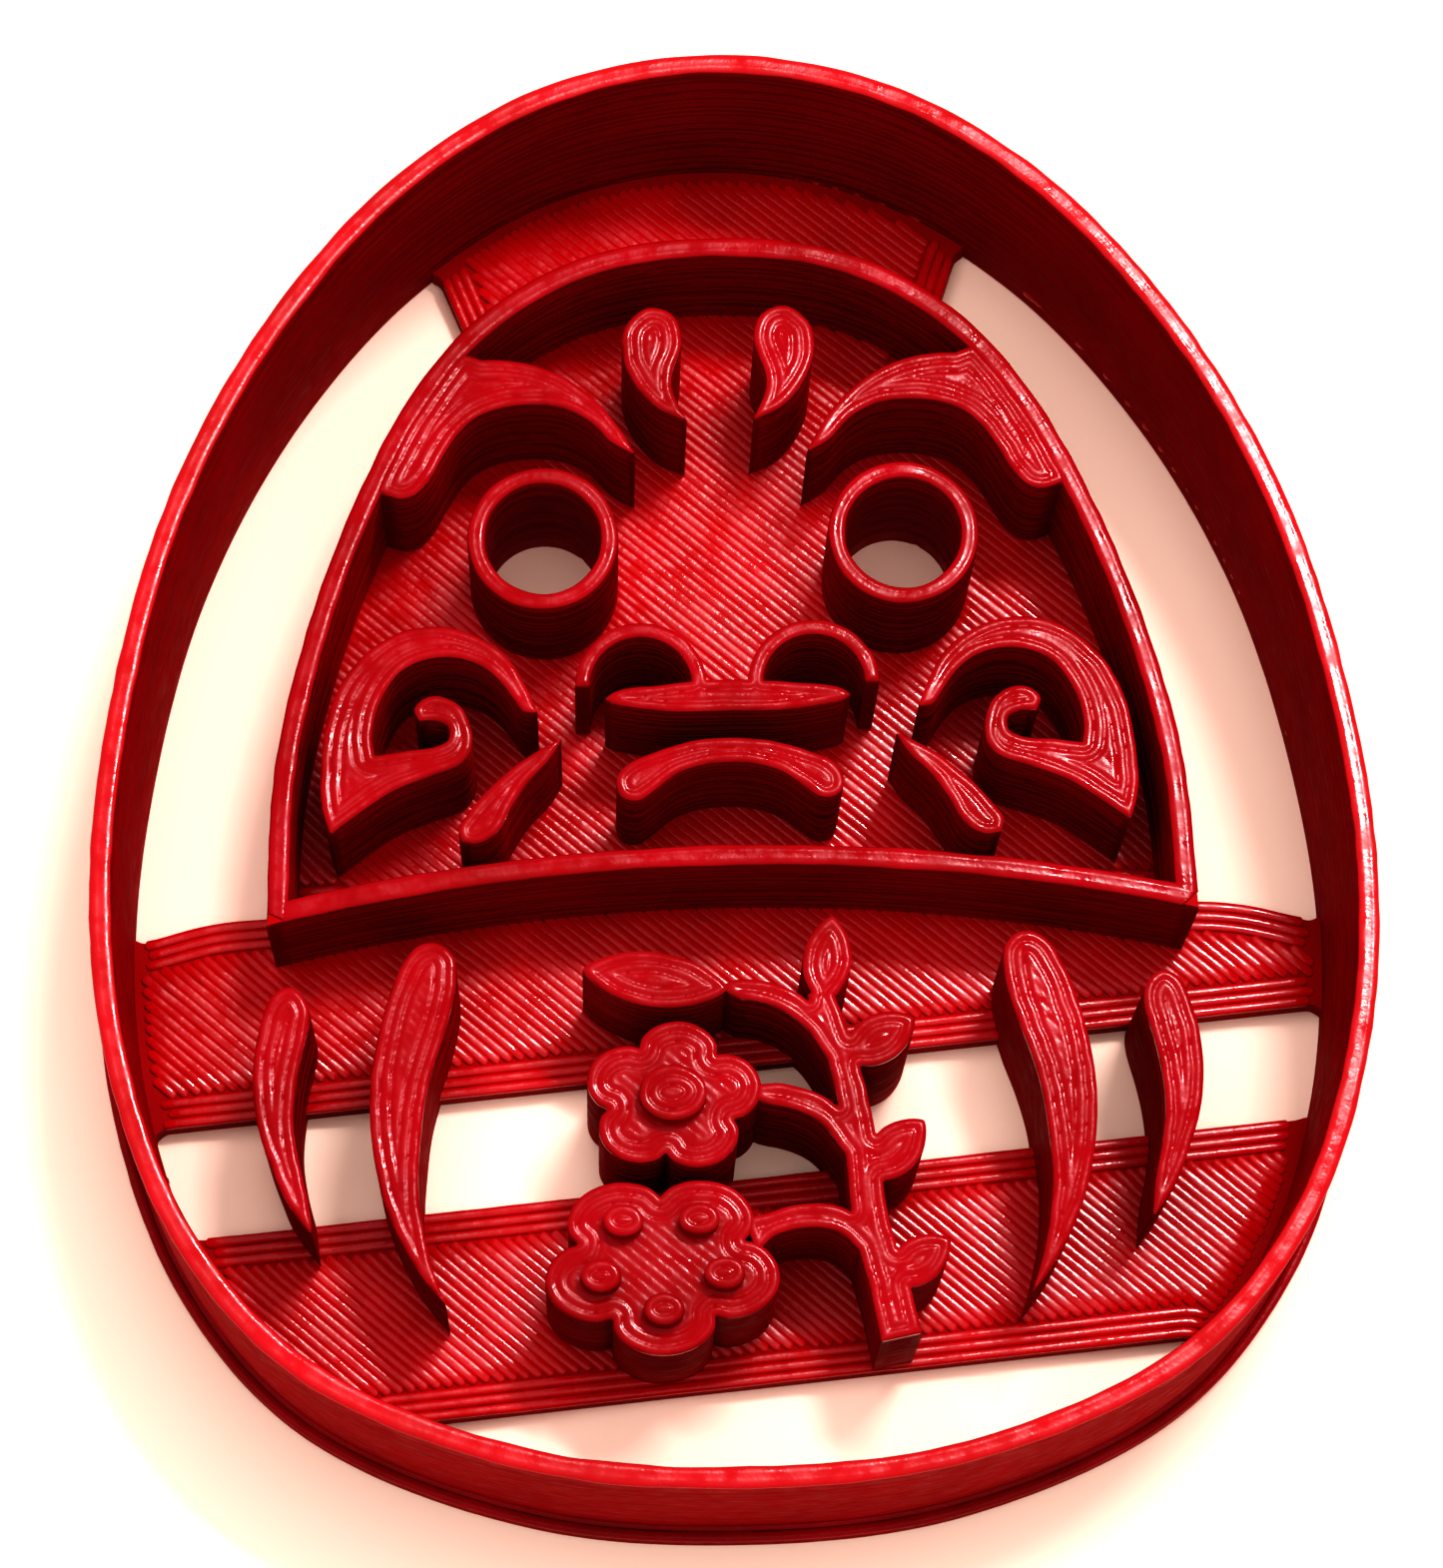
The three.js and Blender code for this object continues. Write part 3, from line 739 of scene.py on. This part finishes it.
def raster_lines(owner, count_each_way=110, reach=45, step=0.11, segment=0.9, shortest=0.3):
    """Straight filament lines across the area where owner(x, y) is true."""
    along = np.array([math.cos(RASTER_ANGLE), math.sin(RASTER_ANGLE)])
    across = np.array([-along[1], along[0]])
    amount, size = RASTER_WOBBLE
    lines = []
    for k in range(-count_each_way, count_each_way + 1):
        s = np.arange(-reach, reach, step)
        path = across * RASTER * (k + 0.5) + s[:, None] * along
        for part, _ in runs(path, owner(path[:, 0], path[:, 1]), False):
            ends = part[[0, -1]]
            length = np.linalg.norm(ends[1] - ends[0])
            if length > shortest:
                count = max(1, round(length / segment))
                line = ends[0] + np.linspace(0, 1, count + 1)[:, None] * (ends[1] - ends[0])
                drift = amount * wobble(line[:, 0] * 0.7 + k, line[:, 1] * 0.7 - k, size)
                lines.append(line + drift[:, None] * across)
    return lines


def plate_outline(region):
    """The region's outlines, largest first and counter-clockwise, and its holes clockwise."""
    loops = [thinned(relaxed(loop)) for loop in plate_grid.contours(region)]
    loops = sorted(loops, key=lambda loop: -abs(area(loop)))
    return [loop if (area(loop) > 0) == (n == 0) else loop[::-1] for n, loop in enumerate(loops)]


for index, name in enumerate(PLATES):
    others = np.max([d for n, d in enumerate(plate_depths) if n != index], axis=0)
    mine = (plate_depths[index] - others) / 2
    reach = plate_depths[index] + JOINT + UNDER_JOINT

    def owned(x, y, margin=0.0):
        near_edge = plate_grid.sample(edge_depth, x, y)
        share = plate_grid.sample(mine, x, y)
        from_wall = plate_grid.sample(wall_depth, x, y)
        solid = plate_grid.sample(filled, x, y)
        return (near_edge > margin) & (share > OWN_SIDE) & (from_wall > INTO_WALL) & (solid > SOLID)

    mesh = Mesh()
    outline = plate_outline(np.min([filled, mine, wall_depth + UNDER_WALL, reach], axis=0))
    free = [
        (np.abs(plate_grid.sample(edge_depth, loop[:, 0], loop[:, 1])) < AT_EDGE).astype(float)
        for loop in outline
    ]
    layered(mesh, outline, 0.0, CORE_TOP, free)
    for path in edge_lines:
        for part, whole in runs(path, owned(path[:, 0], path[:, 1]), True):
            bead(mesh, part, PLATE_TOP, whole)
    for line in raster_lines(lambda x, y: owned(x, y, RASTER_MARGIN)):
        swell, sink = rng.uniform(*SAG_RANGE), rng.uniform(*SINK_RANGE)
        rise = PLATE_SAG * swell
        bead(mesh, line, PLATE_TOP - sink, width=RASTER_WIDTH, below=RASTER_SUNK, rise=rise)
    piece("printed_" + name, mesh, [name], plate_red)

# ---------- flange, wall and rings ----------

EDGE_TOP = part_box("cutting_wall")[1].z / MM
RIB_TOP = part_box("face_outline_rib")[1].z / MM
FLANGE_INSET = -0.02
FLANGE_LINES = 2

# Ribs that cross an opening reach down almost to the table.
THROUGH = 0.02

flange_smooth = [offset(smooth(loop, 0.5), FLANGE_INSET) for loop in flange_loops]
mesh = Mesh()
layered(mesh, flange_smooth, 0.0, CORE_TOP)
for k in range(FLANGE_LINES):
    bead(mesh, evened(offset(flange_smooth[0], -LINE * (k + 0.5)), 0.5), PLATE_TOP, True)
piece("printed_base_flange", mesh, ["base_flange"], rib_red)

mesh = Mesh()
ring_rib(mesh, [evened(loop, 0.5) for loop in wall_loops], RIB_FOOT, EDGE_TOP, 0.45)
piece("printed_cutting_wall", mesh, ["cutting_wall"], rim_red)

mesh = Mesh()
face_loops = [smooth(loop, 0.45) for loop in node_loops("face_outline_rib")]
ring_rib(mesh, face_loops, RIB_FOOT, RIB_TOP, 0.4)
piece("printed_face_outline_rib", mesh, ["face_outline_rib"], rib_red)

for name in ("eye_ring_left", "eye_ring_right"):
    mesh = Mesh()
    ring_loops = [evened(smooth(loop, 0.2), 0.3) for loop in node_loops(name)]
    ring_rib(mesh, ring_loops, THROUGH, RIB_TOP, 0.25)
    piece("printed_" + name, mesh, [name], rib_red)

# ---------- ribs ----------

SPANNING = [
    "robe_fold_outer_left", "robe_fold_inner_left", "robe_fold_inner_right",
    "robe_fold_outer_right", "sprig_small_blossom", "sprig_twig",
]
STANDING = [
    "forehead_drop_left", "forehead_drop_right", "brow_left", "brow_right",
    "nose_rib", "mouth_rib", "moustache_left", "moustache_right",
    "whisker_left", "whisker_right", "sprig_leaf", "sprig_blossom",
]
JOINED = {
    "brow_left": ["face_outline_rib"],
    "brow_right": ["face_outline_rib"],
    "sprig_twig": ["sprig_leaf", "sprig_small_blossom", "sprig_blossom"],
}
for name in SPANNING + STANDING:
    mesh = Mesh()
    loops = [smooth(loop, 0.25) for loop in node_loops(name)]
    neighbours = [loop for other in JOINED.get(name, []) for loop in node_loops(other)]
    if neighbours:
        loops = [merged(loop, neighbours) for loop in loops]
    layered(mesh, loops, THROUGH if name in SPANNING else RIB_FOOT, RIB_TOP - CREST)
    cushion(mesh, loops, RIB_TOP)
    piece("printed_" + name, mesh, [name], rib_red)

# Small raised parts on the blossoms.
ISLAND_CREST = 0.12
ISLANDS = ["sprig_small_heart", *(f"sprig_petal_{n}" for n in range(1, 6))]
for name in ISLANDS:
    mesh = Mesh()
    loops = [smooth(loop, 0.18) for loop in node_loops(name)]
    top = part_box(name)[1].z / MM
    layered(mesh, loops, RIB_TOP - SUNK, top - ISLAND_CREST)
    cushion(mesh, loops, top, cell=0.06)
    piece("printed_" + name, mesh, [name], rib_red)

# ---------- floor, light and camera, in metres ----------

FLOOR = 1.2
floor_material, _ = principled("pale_floor", (0.94, 0.69, 0.57), 0.7)
floor_mesh = bpy.data.meshes.new("floor")
floor_corners = [(-FLOOR, -FLOOR, 0), (FLOOR, -FLOOR, 0), (FLOOR, FLOOR, 0), (-FLOOR, FLOOR, 0)]
floor_mesh.from_pydata(floor_corners, [], [(0, 1, 2, 3)])
floor_mesh.materials.append(floor_material)
floor = bpy.data.objects.new("floor", floor_mesh)
bpy.context.scene.collection.objects.link(floor)


def softbox(name, place, width, height, power):
    """A rectangular area light at place that faces the origin, its width level."""
    light = bpy.data.lights.new(name, "AREA")
    light.shape = "RECTANGLE"
    light.size = width
    light.size_y = height
    light.energy = power
    made = bpy.data.objects.new(name, light)
    made.location = place
    made.rotation_euler = (-Vector(place)).to_track_quat("-Z", "Y").to_euler()
    bpy.context.scene.collection.objects.link(made)
    return made


# The wide light gives no reflections, so only the narrow one glints on the lines.
overhead = softbox("overhead", (0.02, 0.04, 0.46), width=0.5, height=0.5, power=1.95)
overhead.visible_glossy = False
softbox("glint", (0.10, 0.13, 0.38), width=0.09, height=0.022, power=0.68)

world = bpy.data.worlds.new("studio")
bpy.context.scene.world = world
world.use_nodes = True
world.node_tree.nodes["Background"].inputs["Color"].default_value = (1.0, 0.98, 0.96, 1)
world.node_tree.nodes["Background"].inputs["Strength"].default_value = 0.40

# Fitted to the photograph: the camera's place, and its turns about x, y and z in degrees from
# looking straight down.
CAMERA_PLACE = Vector((-6.114, -55.646, 191.568)) * MM
CAMERA_TURNS = (16.644, -1.338, -1.530)
camera_data = bpy.data.cameras.new("camera")
camera_data.sensor_width = 36.0
camera_data.lens = 113.04
camera_data.clip_start = 0.01
camera_data.clip_end = 20.0
camera = bpy.data.objects.new("camera", camera_data)
camera_turn = Euler([math.radians(turn) for turn in CAMERA_TURNS])
camera.matrix_world = Matrix.LocRotScale(CAMERA_PLACE, camera_turn, None)
bpy.context.scene.collection.objects.link(camera)
bpy.context.scene.camera = camera
bpy.context.scene.view_settings.view_transform = "Standard"
bpy.context.scene.view_settings.look = "Very High Contrast"
